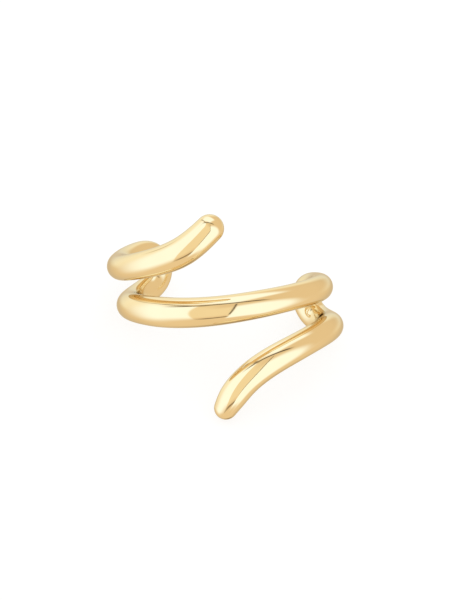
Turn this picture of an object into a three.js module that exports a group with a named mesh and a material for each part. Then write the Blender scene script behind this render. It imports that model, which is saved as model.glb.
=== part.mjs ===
// Ear cuff: one polished round wire, wrapped as an S round an upright oval that the rim of an ear
// passes through. Three strands cross the front, the middle one whole and the outer two with free
// tips, and a U-turn at each side of the back joins them.
//
// Cuff frame: the oval's axis is Z, and the front of the cuff faces -Y. The last step lays the cuff
// down as it rests by itself, with the middle of its underside at the origin.

import * as THREE from 'three';

// ---- driving dimensions, in millimetres and degrees ----

// The oval that the middle of the wire follows, seen along the cuff's axis.
const HALF_WIDTH = 5.15;
const HALF_DEPTH = 4.4;

// The wire's route, from the tip of the upper strand to the tip of the lower one.
//   angle   round the cuff's axis from the front, positive towards +X
//   height  up the cuff's axis
//   wire    the wire's diameter
const ROUTE = [
  // upper strand, from its tip round the left side to the back
  { angle: 9, height: 4.9, wire: 1.56 },
  { angle: -11, height: 4.0, wire: 1.64 },
  { angle: -36, height: 3.6, wire: 1.52 },
  { angle: -62, height: 3.35, wire: 1.42 },
  { angle: -92, height: 3.1, wire: 1.42 },
  // left U-turn
  { angle: -120, height: 2.95, wire: 1.42 },
  { angle: -132, height: 2.65, wire: 1.42 },
  { angle: -136, height: 1.95, wire: 1.42 },
  { angle: -132, height: 1.25, wire: 1.42 },
  { angle: -120, height: 0.9, wire: 1.44 },
  // middle strand, across the front
  { angle: -92, height: 0.9, wire: 1.46 },
  { angle: -62, height: 1.0, wire: 1.58 },
  { angle: -36, height: 0.8, wire: 1.66 },
  { angle: -15, height: 0.55, wire: 1.64 },
  { angle: 7, height: 0.3, wire: 1.58 },
  { angle: 30, height: 0.05, wire: 1.5 },
  { angle: 55, height: -0.25, wire: 1.44 },
  { angle: 85, height: -0.6, wire: 1.44 },
  // right U-turn
  { angle: 115, height: -0.9, wire: 1.46 },
  { angle: 127, height: -1.2, wire: 1.5 },
  { angle: 131, height: -1.9, wire: 1.52 },
  { angle: 127, height: -2.65, wire: 1.52 },
  { angle: 114, height: -3.0, wire: 1.46 },
  // lower strand, round the right side and down to its tip
  { angle: 90, height: -2.9, wire: 1.48 },
  { angle: 58, height: -2.8, wire: 1.48 },
  { angle: 36, height: -2.95, wire: 1.54 },
  { angle: 20, height: -3.25, wire: 1.58 },
  { angle: 5, height: -3.85, wire: 1.58 },
  { angle: -5, height: -4.55, wire: 1.5 },
  { angle: -11, height: -5.1, wire: 1.26 },
];

// How the cuff rests by itself, on both U-turns and its lower tip: turned about Y, then X, then Z.
const REST_TURN_Y = -24.3;
const REST_TURN_X = -31;
const REST_TURN_Z = -3.4;

// Facets
const SECTION_SPACING = 0.4; // between two cross-sections along the wire
const SIDES = 20; // flats round the wire
const CAP_SECTIONS = 4; // cross-sections in each rounded end, its pole not counted
const SLOPE_STEP = 0.01; // step along the wire that its direction and taper are measured over

// ---- the route as a smooth curve ----

// The natural cubic through the values at the knots, as a function of the distance along them.
function naturalCubic(knots, values) {
  const last = knots.length - 1;
  const bend = new Array(last + 1).fill(0); // second derivative at each knot
  const share = new Array(last + 1).fill(0);
  for (let i = 1; i < last; i++) {
    const before = knots[i] - knots[i - 1];
    const after = knots[i + 1] - knots[i];
    const slopeBefore = (values[i] - values[i - 1]) / before;
    const slopeAfter = (values[i + 1] - values[i]) / after;
    const pivot = 2 * (before + after) - before * share[i - 1];
    share[i] = after / pivot;
    bend[i] = (6 * (slopeAfter - slopeBefore) - before * bend[i - 1]) / pivot;
  }
  for (let i = last - 1; i > 0; i--) {
    bend[i] -= share[i] * bend[i + 1];
  }
  return (distance) => {
    let i = 0;
    while (i < last - 1 && distance > knots[i + 1]) {
      i++;
    }
    const step = knots[i + 1] - knots[i];
    const v = (distance - knots[i]) / step;
    const u = 1 - v;
    const curving = ((u ** 3 - u) * bend[i] + (v ** 3 - v) * bend[i + 1]) * step * step / 6;
    return u * values[i] + v * values[i + 1] + curving;
  };
}

// The point of the oval at an angle and a height, in the cuff frame.
function onOval(angle, height) {
  const turn = THREE.MathUtils.degToRad(angle);
  return new THREE.Vector3(HALF_WIDTH * Math.sin(turn), -HALF_DEPTH * Math.cos(turn), height);
}

// Distance of each station of the route from the first, by straight steps.
function stationDistances() {
  const distances = [0];
  for (let i = 1; i < ROUTE.length; i++) {
    const here = onOval(ROUTE[i].angle, ROUTE[i].height);
    const previous = onOval(ROUTE[i - 1].angle, ROUTE[i - 1].height);
    distances.push(distances[i - 1] + here.distanceTo(previous));
  }
  return distances;
}

const DISTANCES = stationDistances();
const WIRE_LENGTH = DISTANCES[DISTANCES.length - 1];
const angleAt = naturalCubic(DISTANCES, ROUTE.map((station) => station.angle));
const heightAt = naturalCubic(DISTANCES, ROUTE.map((station) => station.height));
const wireAt = naturalCubic(DISTANCES, ROUTE.map((station) => station.wire));

function centreAt(distance) {
  return onOval(angleAt(distance), heightAt(distance));
}

function directionAt(distance) {
  const ahead = centreAt(distance + SLOPE_STEP);
  const behind = centreAt(distance - SLOPE_STEP);
  return ahead.sub(behind).normalize();
}

// ---- cross-sections: each has a centre, the direction of the wire there, and a radius ----

function strandSections() {
  const count = Math.round(WIRE_LENGTH / SECTION_SPACING);
  const sections = [];
  for (let i = 0; i <= count; i++) {
    const distance = (WIRE_LENGTH * i) / count;
    sections.push({
      centre: centreAt(distance),
      direction: directionAt(distance),
      radius: wireAt(distance) / 2,
    });
  }
  return sections;
}

// The rounded end at a distance along the wire: part of a ball that the wire's taper runs into
// without a crease. outward is 1 at the last end and -1 at the first. The sections run outward, and
// the pole closes the end.
function roundedEnd(distance, outward) {
  const radius = wireAt(distance) / 2;
  const taper = (radius - wireAt(distance + outward * SLOPE_STEP) / 2) / SLOPE_STEP;
  const startAngle = Math.atan(taper);
  const ball = radius / Math.cos(startAngle);
  const direction = directionAt(distance);
  const out = direction.clone().multiplyScalar(outward);
  const middle = centreAt(distance).addScaledVector(out, -ball * Math.sin(startAngle));
  const sections = [];
  for (let i = 1; i <= CAP_SECTIONS; i++) {
    const angle = THREE.MathUtils.lerp(startAngle, Math.PI / 2, i / (CAP_SECTIONS + 1));
    sections.push({
      centre: middle.clone().addScaledVector(out, ball * Math.sin(angle)),
      direction,
      radius: ball * Math.cos(angle),
    });
  }
  return { sections, pole: middle.clone().addScaledVector(out, ball) };
}

// The ring of points round a section. The first lies away from the cuff's axis.
function ringPoints({ centre, direction, radius }) {
  const away = new THREE.Vector3(centre.x, centre.y, 0);
  away.addScaledVector(direction, -away.dot(direction)).normalize();
  const side = new THREE.Vector3().crossVectors(direction, away);
  const points = [];
  for (let i = 0; i < SIDES; i++) {
    const turn = (2 * Math.PI * i) / SIDES;
    points.push(
      centre.clone()
        .addScaledVector(away, radius * Math.cos(turn))
        .addScaledVector(side, radius * Math.sin(turn)),
    );
  }
  return points;
}

// ---- the solid: a skin over the sections, from the first pole to the last ----

function wireGeometry() {
  const firstEnd = roundedEnd(0, -1);
  const lastEnd = roundedEnd(WIRE_LENGTH, 1);
  const sections = [...firstEnd.sections.reverse(), ...strandSections(), ...lastEnd.sections];
  const points = [firstEnd.pole, ...sections.flatMap(ringPoints), lastEnd.pole];
  const triangles = [];
  const corner = (section, side) => 1 + section * SIDES + (side % SIDES);
  const lastSection = sections.length - 1;
  const lastPoint = points.length - 1;
  for (let side = 0; side < SIDES; side++) {
    triangles.push(0, corner(0, side + 1), corner(0, side));
    for (let section = 0; section < lastSection; section++) {
      const a = corner(section, side);
      const b = corner(section, side + 1);
      const c = corner(section + 1, side + 1);
      const d = corner(section + 1, side);
      triangles.push(a, b, c, a, c, d);
    }
    triangles.push(lastPoint, corner(lastSection, side), corner(lastSection, side + 1));
  }
  const geometry = new THREE.BufferGeometry().setFromPoints(points);
  geometry.setIndex(triangles);
  geometry.computeVertexNormals();
  return geometry;
}

function cuffWire() {
  const polishedGold = new THREE.MeshStandardMaterial({
    color: 0xf0cf8c,
    metalness: 1,
    roughness: 0.12,
  });
  const mesh = new THREE.Mesh(wireGeometry(), polishedGold);
  mesh.name = 'cuff_wire';
  const radians = THREE.MathUtils.degToRad;
  mesh.rotation.set(radians(REST_TURN_X), radians(REST_TURN_Y), radians(REST_TURN_Z), 'ZXY');
  return mesh;
}

// ---- the part, with the middle of its underside at the origin ----

const cuff = new THREE.Group();
cuff.add(cuffWire());
const box = new THREE.Box3().setFromObject(cuff, true);
cuff.position.set(-(box.min.x + box.max.x) / 2, -(box.min.y + box.max.y) / 2, -box.min.z);

export default cuff;
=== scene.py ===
"""The looks of a wrap-around ear cuff: one polished gold wire on a plain white floor, in soft light.

The wire follows the same route as the CAD solid, with far finer sections. Lengths are in metres,
except in the wire's own numbers and maths, which keep the CAD part's millimetres and degrees.
"""

import math
from typing import NamedTuple

import bpy
import numpy as np
from mathutils import Matrix, Vector, noise


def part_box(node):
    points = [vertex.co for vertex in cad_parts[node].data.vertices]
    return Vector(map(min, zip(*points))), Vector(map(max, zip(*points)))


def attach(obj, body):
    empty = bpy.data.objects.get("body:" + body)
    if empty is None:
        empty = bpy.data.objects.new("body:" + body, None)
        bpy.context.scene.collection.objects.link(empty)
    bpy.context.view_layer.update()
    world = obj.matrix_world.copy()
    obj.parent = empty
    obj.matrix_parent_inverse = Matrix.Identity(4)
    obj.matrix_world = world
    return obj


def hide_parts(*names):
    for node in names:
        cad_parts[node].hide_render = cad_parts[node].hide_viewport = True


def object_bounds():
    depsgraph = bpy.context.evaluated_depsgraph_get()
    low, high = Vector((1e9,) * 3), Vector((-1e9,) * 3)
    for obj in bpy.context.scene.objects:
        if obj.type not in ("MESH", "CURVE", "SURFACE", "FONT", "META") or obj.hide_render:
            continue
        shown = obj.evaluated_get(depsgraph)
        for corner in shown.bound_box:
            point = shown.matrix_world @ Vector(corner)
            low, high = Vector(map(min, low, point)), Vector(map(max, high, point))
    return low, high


MM = 0.001

# ---- the wire, with the numbers of the CAD part ----

# The oval that the middle of the wire follows, seen along the cuff's axis, in mm.
HALF_WIDTH = 5.15
HALF_DEPTH = 4.4

# Stations from the tip of the upper strand to the tip of the lower one: the angle round the cuff's
# axis from the front in degrees, the height up the axis in mm, and the wire's diameter in mm.
ROUTE = [
    # upper strand, from its tip round the left side to the back
    (9, 4.9, 1.56),
    (-11, 4.0, 1.64),
    (-36, 3.6, 1.52),
    (-62, 3.35, 1.42),
    (-92, 3.1, 1.42),
    # left U-turn
    (-120, 2.95, 1.42),
    (-132, 2.65, 1.42),
    (-136, 1.95, 1.42),
    (-132, 1.25, 1.42),
    (-120, 0.9, 1.44),
    # middle strand, across the front
    (-92, 0.9, 1.46),
    (-62, 1.0, 1.58),
    (-36, 0.8, 1.66),
    (-15, 0.55, 1.64),
    (7, 0.3, 1.58),
    (30, 0.05, 1.5),
    (55, -0.25, 1.44),
    (85, -0.6, 1.44),
    # right U-turn
    (115, -0.9, 1.46),
    (127, -1.2, 1.5),
    (131, -1.9, 1.52),
    (127, -2.65, 1.52),
    (114, -3.0, 1.46),
    # lower strand, round the right side and down to its tip
    (90, -2.9, 1.48),
    (58, -2.8, 1.48),
    (36, -2.95, 1.54),
    (20, -3.25, 1.58),
    (5, -3.85, 1.58),
    (-5, -4.55, 1.5),
    (-11, -5.1, 1.26),
]

# How the cuff rests by itself: turned about Y, then X, then Z, in degrees.
REST_TURN_Y = -24.3
REST_TURN_X = -31.0
REST_TURN_Z = -3.4

# ---- the wire's fine skin ----

STRAND_SECTIONS = 640  # cross-sections along the wire, its rounded ends not counted
END_SECTIONS = 20  # cross-sections in each rounded end, its pole not counted
SIDES = 56  # faces round the wire
SLOPE_STEP = 0.01  # mm of wire that its direction and taper are measured over

# The hand-polished surface swells and sinks a little, in mm.
SWELL_HEIGHT = 0.006
SWELL_LENGTH = 1.9

WIRE_MAP = "along_wire"  # the UV map: metres along the wire and round it
INWARD = "inward"  # the attribute: 1 towards the cuff's axis, -1 away from it

# ---- the gold ----

GOLD_DEEP = (0.90, 0.745, 0.49)  # the outside's deepest tone and its palest
GOLD_PALE = (0.94, 0.795, 0.55)
GOLD_INSIDE_PAINTED_SHADE = (0.905, 0.755, 0.505)  # the side that faces the ear: the same gold, a touch darker as painted shade
GOLD_EDGE = (0.74, 0.74, 0.74)  # darkens the metal where it is seen at a grazing angle

OUTSIDE_ROUGHNESS = (0.035, 0.085)  # from the polish's best spots to its haziest
INSIDE_ROUGHNESS = 0.12  # a little duller than the outside
INSIDE_FROM = 0.25  # where the inside's finish and its painted shade start and are whole, in values of the attribute
INSIDE_WHOLE = 0.85
BORDER_WANDER = 0.3  # how far the border of the inside's finish and painted shade wanders, in the same values

# Noises: features to the metre, and how many finer levels lie on top.
TONE_NOISE = (550.0, 3.0)
BORDER_NOISE = (1400.0, 3.0)
HAZE_NOISE = (900.0, 6.0)
HAZE_GAIN = 2.0  # brings haze times hairlines back to about 0.5

HAIRLINE_STRETCH = (500.0, 14000.0, 1.0)  # features to the metre along the wire and round it
HAIRLINE_NOISE = (1.0, 4.0)
HAIRLINE_DEPTH = 0.002 * MM
HAIRLINE_STRENGTH = (0.08, 0.1)  # outside and inside

# ---- the photo's camera ----

CAMERA_ELEVATION = 45.8  # degrees above the floor
CAMERA_ROLL = 8.1  # degrees that its right side is lifted
CAMERA_LENS = 500.0  # mm, for the flat perspective of the photo
CAMERA_REACH = 10.0  # how far it sees
SENSOR = 36.0  # mm, along the frame's height
FRAME_HEIGHT = 32.79 * MM  # what the frame takes in from bottom to top
FRAME_RIGHT = -0.027 * MM  # the middle of the frame, from the middle of the cuff's oval
FRAME_UP = -0.137 * MM

# ---- the floor, a lit white panel on which shadows stay faint ----

FLOOR_HALF = 3.0  # half the side of the floor
FLOOR_DROP = 0.02 * MM  # its depth under the lowest point of the wire
FLOOR_WHITE = (0.26, 0.26, 0.26)  # the share of the light on it that it gives back
FLOOR_GLOW = 0.78
FLOOR_ROUGHNESS = 0.9

# ---- the studio round the cuff ----

BACKDROP = (1.02, 1.02, 1.02)  # the plain white light that falls on the floor
SURROUND = (0.89, 0.73, 0.49)  # the warm surroundings that the metal reflects

# What the panels and gaps in front of the surroundings look like.
COOL_WHITE = (1.15, 1.27, 1.31)
BACK_WHITE = (1.1, 1.08, 0.9)
PALE = (0.98, 0.86, 0.6)
CORNER = (0.86, 0.705, 0.47)
BROWN = (0.33, 0.255, 0.16)
DARK = (0.13, 0.11, 0.08)


class Panel(NamedTuple):
    """A soft patch of light, or a gap of darkness, that the metal reflects. Its place is an angle
    from the photo's camera, and its edges are angles from its own middle, all in degrees as seen
    from the cuff."""

    name: str
    right: float
    above: float
    turn: float  # anticlockwise
    sides: tuple  # its left and right edges
    ends: tuple  # its bottom and top edges
    side_fades: tuple  # the widths that those edges fade over
    end_fades: tuple
    light: tuple


# Later ones stand in front of earlier ones.
PANELS = [
    Panel("sky", 0, 100, 0, (-80, 80), (-44, 50), (40, 40), (24, 40), PALE),
    Panel("gap_haze", -16, 0, 0, (-30, 30), (-42, 46), (8, 8), (14, 10), PALE),
    Panel("left_bank", -72, 2, 0, (-36, 36), (-46, 42), (60, 4), (36, 14), COOL_WHITE),
    Panel("right_bank", 44, 0, 3, (-37, 44), (-66, 34), (4, 40), (14, 24), COOL_WHITE),
    Panel("back_bank", 180, 34, 0, (-60, 60), (-18, 24), (40, 40), (16, 24), BACK_WHITE),
    Panel("right_corner", 70, 35, -36, (-72, 60), (-30, 60), (24, 40), (24, 20), CORNER),
    Panel("top_bank", -40, 78, 0, (-36, 30), (-22, 24), (20, 16), (14, 16), COOL_WHITE),
    Panel("centre_gap", 44, 0, 3, (-39.5, -37.5), (-40, 38), (2, 1.5), (8, 8), DARK),
    Panel("low_gap", -8, -56, 0, (-14, 10), (-4, 4), (16, 4), (5, 4), BROWN),
    Panel("high_gap", -8, 47, -10, (-40, 36), (-3, 3), (20, 20), (4, 3), DARK),
    Panel("high_left_gap", -76, 52, 0, (-32, 32), (-2, 2), (20, 20), (4, 4), BROWN),
    # a brown patch below the cuff: the floor's shadow under it, painted into what the metal reflects
    Panel("painted_floor_shadow", 165, -42, 0, (-12, 12), (-10, 10), (24, 24), (20, 20), BROWN),
]

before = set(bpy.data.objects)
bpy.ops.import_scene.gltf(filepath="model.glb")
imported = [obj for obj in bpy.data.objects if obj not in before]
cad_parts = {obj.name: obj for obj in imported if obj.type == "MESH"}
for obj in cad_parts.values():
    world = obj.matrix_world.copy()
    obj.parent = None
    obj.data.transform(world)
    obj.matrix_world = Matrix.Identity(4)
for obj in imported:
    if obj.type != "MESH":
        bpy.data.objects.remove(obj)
cad_low, cad_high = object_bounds()


# ---- the route as a smooth curve ----


def natural_cubic(knots, values):
    """The natural cubic through the values at the knots, for any array of distances along them."""
    steps = np.diff(knots)
    slopes = np.diff(values) / steps
    count = len(knots)
    system = np.eye(count)
    bends = np.zeros(count)
    for i in range(1, count - 1):
        system[i, i - 1] = steps[i - 1]
        system[i, i] = 2 * (steps[i - 1] + steps[i])
        system[i, i + 1] = steps[i]
        bends[i] = 6 * (slopes[i] - slopes[i - 1])
    bends = np.linalg.solve(system, bends)

    def value_at(distance):
        i = np.clip(np.searchsorted(knots, distance) - 1, 0, count - 2)
        step = steps[i]
        v = (distance - knots[i]) / step
        u = 1 - v
        curving = ((u**3 - u) * bends[i] + (v**3 - v) * bends[i + 1]) * step**2 / 6
        return u * values[i] + v * values[i + 1] + curving

    return value_at


def on_oval(angle, height):
    """The point of the oval at an angle and a height, in the cuff's own frame."""
    turn = np.radians(angle)
    return np.stack([HALF_WIDTH * np.sin(turn), -HALF_DEPTH * np.cos(turn), height], -1)


angles, heights, wires = np.array(ROUTE, float).T
station_gaps = np.diff(on_oval(angles, heights), axis=0)
distances = np.concatenate([[0], np.cumsum(np.linalg.norm(station_gaps, axis=1))])
wire_length = distances[-1]
angle_at = natural_cubic(distances, angles)
height_at = natural_cubic(distances, heights)
wire_at = natural_cubic(distances, wires)


def centre_at(distance):
    return on_oval(angle_at(distance), height_at(distance))


def direction_at(distance):
    along = centre_at(distance + SLOPE_STEP) - centre_at(distance - SLOPE_STEP)
    return along / np.linalg.norm(along, axis=-1, keepdims=True)


# ---- the skin ----

# It is made of rings of points. Each ring has a distance along the wire, a centre, a direction that
# it stands across, and a radius.


def strand_rings():
    distance = np.linspace(0, wire_length, STRAND_SECTIONS)
    return distance, centre_at(distance), direction_at(distance), wire_at(distance) / 2


def end_rings(distance, outward):
    """The rounded end at a distance: part of a ball that the wire's taper runs into with no crease.
    outward is 1 at the last end and -1 at the first. The rings run outward too, and the last of them
    is the pole, at no radius."""
    radius = wire_at(distance) / 2
    taper = (radius - wire_at(distance + outward * SLOPE_STEP) / 2) / SLOPE_STEP
    start = math.atan(taper)
    ball = radius / math.cos(start)
    direction = direction_at(distance)
    middle = centre_at(distance) - outward * direction * ball * math.sin(start)
    turns = np.linspace(start, math.pi / 2, END_SECTIONS + 2)[1:]
    along = distance + outward * ball * (np.sin(turns) - math.sin(start))
    centres = middle + outward * direction * ball * np.sin(turns)[:, None]
    directions = np.repeat(direction[None], len(turns), 0)
    return along, centres, directions, ball * np.cos(turns)


def all_rings():
    first = [part[::-1] for part in end_rings(0.0, -1)]
    last = end_rings(wire_length, 1)
    return [np.concatenate(parts) for parts in zip(first, strand_rings(), last)]


def ring_points(centres, directions, radii):
    """The points of every ring. The first point of each lies towards the cuff's axis."""
    inward = centres * (-1, -1, 0)
    inward -= directions * np.sum(inward * directions, axis=1, keepdims=True)
    inward /= np.linalg.norm(inward, axis=1, keepdims=True)
    side = np.cross(directions, inward)
    turns = np.linspace(0, 2 * math.pi, SIDES, endpoint=False)
    spokes = inward[:, None] * np.cos(turns)[:, None] + side[:, None] * np.sin(turns)[:, None]
    round_skin = centres[:, None] + radii[:, None, None] * spokes
    swell = np.array([[noise.noise(Vector(point / SWELL_LENGTH)) for point in ring]
                      for ring in round_skin])
    swell[radii < SWELL_HEIGHT] = 0  # keeps the points of a pole together
    reach = radii[:, None] + SWELL_HEIGHT * swell
    return centres[:, None] + reach[..., None] * spokes


def rest_turn():
    about_z = Matrix.Rotation(math.radians(REST_TURN_Z), 3, "Z")
    about_x = Matrix.Rotation(math.radians(REST_TURN_X), 3, "X")
    about_y = Matrix.Rotation(math.radians(REST_TURN_Y), 3, "Y")
    return np.array(about_z @ about_x @ about_y)


def wire_faces(rings):
    """Each face as its corners, and each corner as a ring and a side. The first and last ring are
    poles, one point each."""
    last_pole = 1 + (rings - 2) * SIDES
    faces, corners = [], []

    def point(ring, side):
        return 1 + (ring - 1) * SIDES + side % SIDES

    for side in range(SIDES):
        faces.append((0, point(1, side + 1), point(1, side)))
        corners += [(0, side + 0.5), (1, side + 1), (1, side)]
        for ring in range(1, rings - 2):
            quad = [(ring, side), (ring, side + 1), (ring + 1, side + 1), (ring + 1, side)]
            faces.append([point(*place) for place in quad])
            corners += quad
        faces.append((last_pole, point(rings - 2, side), point(rings - 2, side + 1)))
        corners += [(rings - 1, side + 0.5), (rings - 2, side), (rings - 2, side + 1)]
    return faces, np.array(corners)


def wire_mesh(points, along):
    """The closed skin over the rings, with the map and the attribute that its finish and its painted
    shade are placed by."""
    rings = len(points)
    vertices = [points[0, 0], *points[1:-1].reshape(-1, 3), points[-1, 0]]
    faces, corners = wire_faces(rings)
    mesh = bpy.data.meshes.new("cuff_polished")
    mesh.from_pydata(vertices, [], faces)
    mesh.shade_smooth()
    side_width = math.pi * np.mean(wires) / SIDES
    places = np.stack([along[corners[:, 0].astype(int)], corners[:, 1] * side_width], -1) * MM
    mesh.uv_layers.new(name=WIRE_MAP).uv.foreach_set("vector", places.astype(np.float32).ravel())
    turns = np.linspace(0, 2 * math.pi, SIDES, endpoint=False)
    inward = np.concatenate([[0], np.tile(np.cos(turns), rings - 2), [0]])
    mesh.attributes.new(INWARD, "FLOAT", "POINT").data.foreach_set("value", inward)
    return mesh


def make_cuff():
    """The cuff at rest, and the place of the middle of its oval."""
    along, centres, directions, radii = all_rings()
    points = ring_points(centres, directions, radii) @ rest_turn().T * MM
    low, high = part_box("cuff_wire")
    middle = (points.min((0, 1)) + points.max((0, 1))) / 2
    shift = np.array([(low.x + high.x) / 2 - middle[0], (low.y + high.y) / 2 - middle[1],
                      low.z - points[..., 2].min()])
    cuff = bpy.data.objects.new("cuff_polished", wire_mesh(points + shift, along))
    bpy.context.scene.collection.objects.link(cuff)
    return cuff, Vector(shift)


# ---- shader nodes ----


def feed(tree, socket, value):
    """Gives a socket its value, or links it to the output that the value is."""
    if isinstance(value, bpy.types.NodeSocket):
        tree.links.new(value, socket)
    else:
        socket.default_value = value


def node(tree, kind, inputs=None, **settings):
    """A new node. Each input is a value, or the output that feeds it."""
    made = tree.nodes.new(kind)
    for name, value in settings.items():
        setattr(made, name, value)
    for name, value in (inputs or {}).items():
        feed(tree, made.inputs[name], value)
    return made


def maths(tree, operation, *values):
    made = node(tree, "ShaderNodeMath", operation=operation)
    for socket, value in zip(made.inputs, values):
        feed(tree, socket, value)
    return made.outputs[0]


def blend_colours(tree, share, under, over):
    mixed = node(tree, "ShaderNodeMix", {"Factor": share}, data_type="RGBA")
    # A colour mix has several sockets called A and B, one for each type of value.
    for name, value in (("A", under), ("B", over)):
        socket = next(s for s in mixed.inputs if s.name == name and s.type == "RGBA")
        feed(tree, socket, (*value, 1) if isinstance(value, tuple) else value)
    return next(s for s in mixed.outputs if s.type == "RGBA")


def blend_values(tree, share, low, high):
    """low where the share is 0, high where it is 1."""
    mixed = node(tree, "ShaderNodeMapRange", {"Value": share, "To Min": low, "To Max": high})
    return mixed.outputs["Result"]


def rise(tree, value, low, high):
    """0 up to the low end, 1 from the high one, and a soft step between."""
    rising = node(tree, "ShaderNodeMapRange", {"Value": value, "From Min": low, "From Max": high},
                  interpolation_type="SMOOTHSTEP")
    return rising.outputs["Result"]


def noise_at(tree, place, scale, detail):
    """Soft noise about 0.5, with features about 1 / scale across."""
    made = node(tree, "ShaderNodeTexNoise", {"Vector": place, "Scale": scale, "Detail": detail})
    return made.outputs["Fac"]


# ---- the gold's material ----


def inside_share(tree, place):
    """1 on the side that faces the cuff's axis, 0 on the outside, with an uneven border."""
    inward = node(tree, "ShaderNodeAttribute", attribute_name=INWARD).outputs["Fac"]
    wander = noise_at(tree, place, *BORDER_NOISE)
    uneven = maths(tree, "MULTIPLY_ADD", wander, BORDER_WANDER, inward)
    middle = BORDER_WANDER / 2  # what the noise adds on average
    return rise(tree, uneven, INSIDE_FROM + middle, INSIDE_WHOLE + middle)


def hairlines_at(tree):
    """The faint lines that polishing along the wire left."""
    wire_place = node(tree, "ShaderNodeUVMap", uv_map=WIRE_MAP).outputs["UV"]
    stretched = node(tree, "ShaderNodeMapping", {"Vector": wire_place, "Scale": HAIRLINE_STRETCH})
    return noise_at(tree, stretched.outputs["Vector"], *HAIRLINE_NOISE)


def polished_gold():
    """Gold plate with a mirror polish outside and a slightly duller inside, which is also a touch
    darker as painted shade, with faint hairlines, hazy spots and a slow change of tone."""
    material = bpy.data.materials.new("polished_gold")
    material.use_nodes = True
    tree = material.node_tree
    shader = tree.nodes["Principled BSDF"]
    place = node(tree, "ShaderNodeTexCoord").outputs["Object"]
    inside = inside_share(tree, place)
    hairlines = hairlines_at(tree)

    outside_gold = blend_colours(tree, noise_at(tree, place, *TONE_NOISE), GOLD_DEEP, GOLD_PALE)
    # the inside's colour is a touch darker than the outside's: painted shade
    gold = blend_colours(tree, inside, outside_gold, GOLD_INSIDE_PAINTED_SHADE)

    haze = maths(tree, "MULTIPLY", noise_at(tree, place, *HAZE_NOISE), hairlines)
    haze = maths(tree, "MULTIPLY", haze, HAZE_GAIN)
    outside_roughness = blend_values(tree, haze, *OUTSIDE_ROUGHNESS)
    roughness = blend_values(tree, inside, outside_roughness, INSIDE_ROUGHNESS)

    strength = blend_values(tree, inside, *HAIRLINE_STRENGTH)
    bump = node(tree, "ShaderNodeBump",
                {"Height": hairlines, "Distance": HAIRLINE_DEPTH, "Strength": strength})

    tree.links.new(gold, shader.inputs["Base Color"])
    tree.links.new(roughness, shader.inputs["Roughness"])
    tree.links.new(bump.outputs["Normal"], shader.inputs["Normal"])
    shader.inputs["Metallic"].default_value = 1.0
    shader.inputs["Specular Tint"].default_value = (*GOLD_EDGE, 1)
    return material


# ---- floor and camera ----


def floor_white():
    material = bpy.data.materials.new("floor_white")
    material.use_nodes = True
    shader = material.node_tree.nodes["Principled BSDF"]
    shader.inputs["Base Color"].default_value = (*FLOOR_WHITE, 1)
    shader.inputs["Emission Color"].default_value = (1, 1, 1, 1)
    shader.inputs["Emission Strength"].default_value = FLOOR_GLOW
    shader.inputs["Roughness"].default_value = FLOOR_ROUGHNESS
    shader.inputs["Specular IOR Level"].default_value = 0.0
    return material


def make_floor(height):
    """A floor that the metal doesn't reflect and that casts no shadow."""
    mesh = bpy.data.meshes.new("floor")
    side = FLOOR_HALF
    corners = [(-side, -side, height), (side, -side, height), (side, side, height),
               (-side, side, height)]
    mesh.from_pydata(corners, [], [(0, 1, 2, 3)])
    mesh.materials.append(floor_white())
    floor = bpy.data.objects.new("floor", mesh)
    bpy.context.scene.collection.objects.link(floor)
    floor.visible_glossy = False
    floor.visible_shadow = False


def camera_turn():
    tilt = Matrix.Rotation(math.radians(90 - CAMERA_ELEVATION), 3, "X")
    return tilt @ Matrix.Rotation(math.radians(CAMERA_ROLL), 3, "Z")


def make_camera(oval_middle):
    data = bpy.data.cameras.new("camera")
    data.lens = CAMERA_LENS
    data.sensor_width = SENSOR
    data.clip_end = CAMERA_REACH
    camera = bpy.data.objects.new("camera", data)
    bpy.context.scene.collection.objects.link(camera)
    turn = camera_turn()
    distance = FRAME_HEIGHT * CAMERA_LENS / SENSOR
    offset = turn @ Vector((FRAME_RIGHT, FRAME_UP, distance))
    camera.matrix_world = Matrix.Translation(oval_middle + offset) @ turn.to_4x4()
    bpy.context.scene.camera = camera


# ---- studio ----


def along_axis(tree, direction, axis):
    made = node(tree, "ShaderNodeVectorMath", operation="DOT_PRODUCT")
    feed(tree, made.inputs[0], direction)
    feed(tree, made.inputs[1], axis)
    return made.outputs["Value"]


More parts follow.
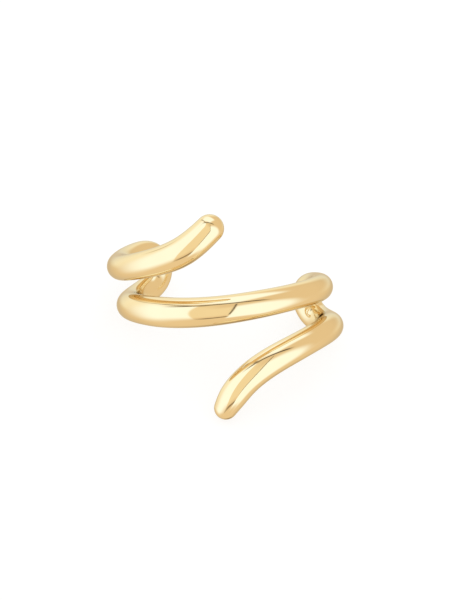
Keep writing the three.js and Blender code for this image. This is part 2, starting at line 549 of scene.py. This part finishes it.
def past(tree, angle, edge, fade):
    """0 below an edge and 1 above it. The angle is in radians, the edge and its fade in degrees."""
    return rise(tree, angle, math.radians(edge - fade / 2), math.radians(edge + fade / 2))


def between(tree, angle, edges, fades):
    """1 from the first edge to the second, and 0 outside them."""
    past_low, past_high = (past(tree, angle, *edge) for edge in zip(edges, fades))
    return maths(tree, "MULTIPLY", past_low, maths(tree, "SUBTRACT", 1.0, past_high))


def panel_share(tree, direction, panel):
    """How much of what is seen in a direction is the panel."""
    place = Matrix.Rotation(math.radians(panel.right), 3, "Y")
    place = place @ Matrix.Rotation(math.radians(-panel.above), 3, "X")
    place = place @ Matrix.Rotation(math.radians(panel.turn), 3, "Z")
    axes = (camera_turn() @ place).transposed()
    across, up, out = (along_axis(tree, direction, axis) for axis in axes)
    longitude = maths(tree, "ARCTAN2", across, out)
    latitude = maths(tree, "ARCSINE", up)
    sideways = between(tree, longitude, panel.sides, panel.side_fades)
    upwards = between(tree, latitude, panel.ends, panel.end_fades)
    return maths(tree, "MULTIPLY", sideways, upwards)


def make_surroundings():
    """The panels and the warm surroundings for rays that the metal reflects, and the plain backdrop
    for all others."""
    world = bpy.data.worlds.new("studio")
    bpy.context.scene.world = world
    world.use_nodes = True
    # Only the ray's own kind says which light it sees, so none is sampled ahead of it.
    world.cycles.sampling_method = "NONE"
    tree = world.node_tree
    direction = node(tree, "ShaderNodeTexCoord").outputs["Generated"]
    light = SURROUND
    for panel in PANELS:
        light = blend_colours(tree, panel_share(tree, direction, panel), light, panel.light)
        light.node.label = panel.name
    reflected = node(tree, "ShaderNodeLightPath").outputs["Is Glossy Ray"]
    shown = blend_colours(tree, reflected, BACKDROP, light)
    tree.links.new(shown, tree.nodes["Background"].inputs["Color"])


cuff, oval_middle = make_cuff()
cuff.data.materials.append(polished_gold())
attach(cuff, "root")
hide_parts("cuff_wire")

make_floor(cad_low.z - FLOOR_DROP)
make_surroundings()
make_camera(oval_middle)
bpy.context.scene.view_settings.view_transform = "Standard"
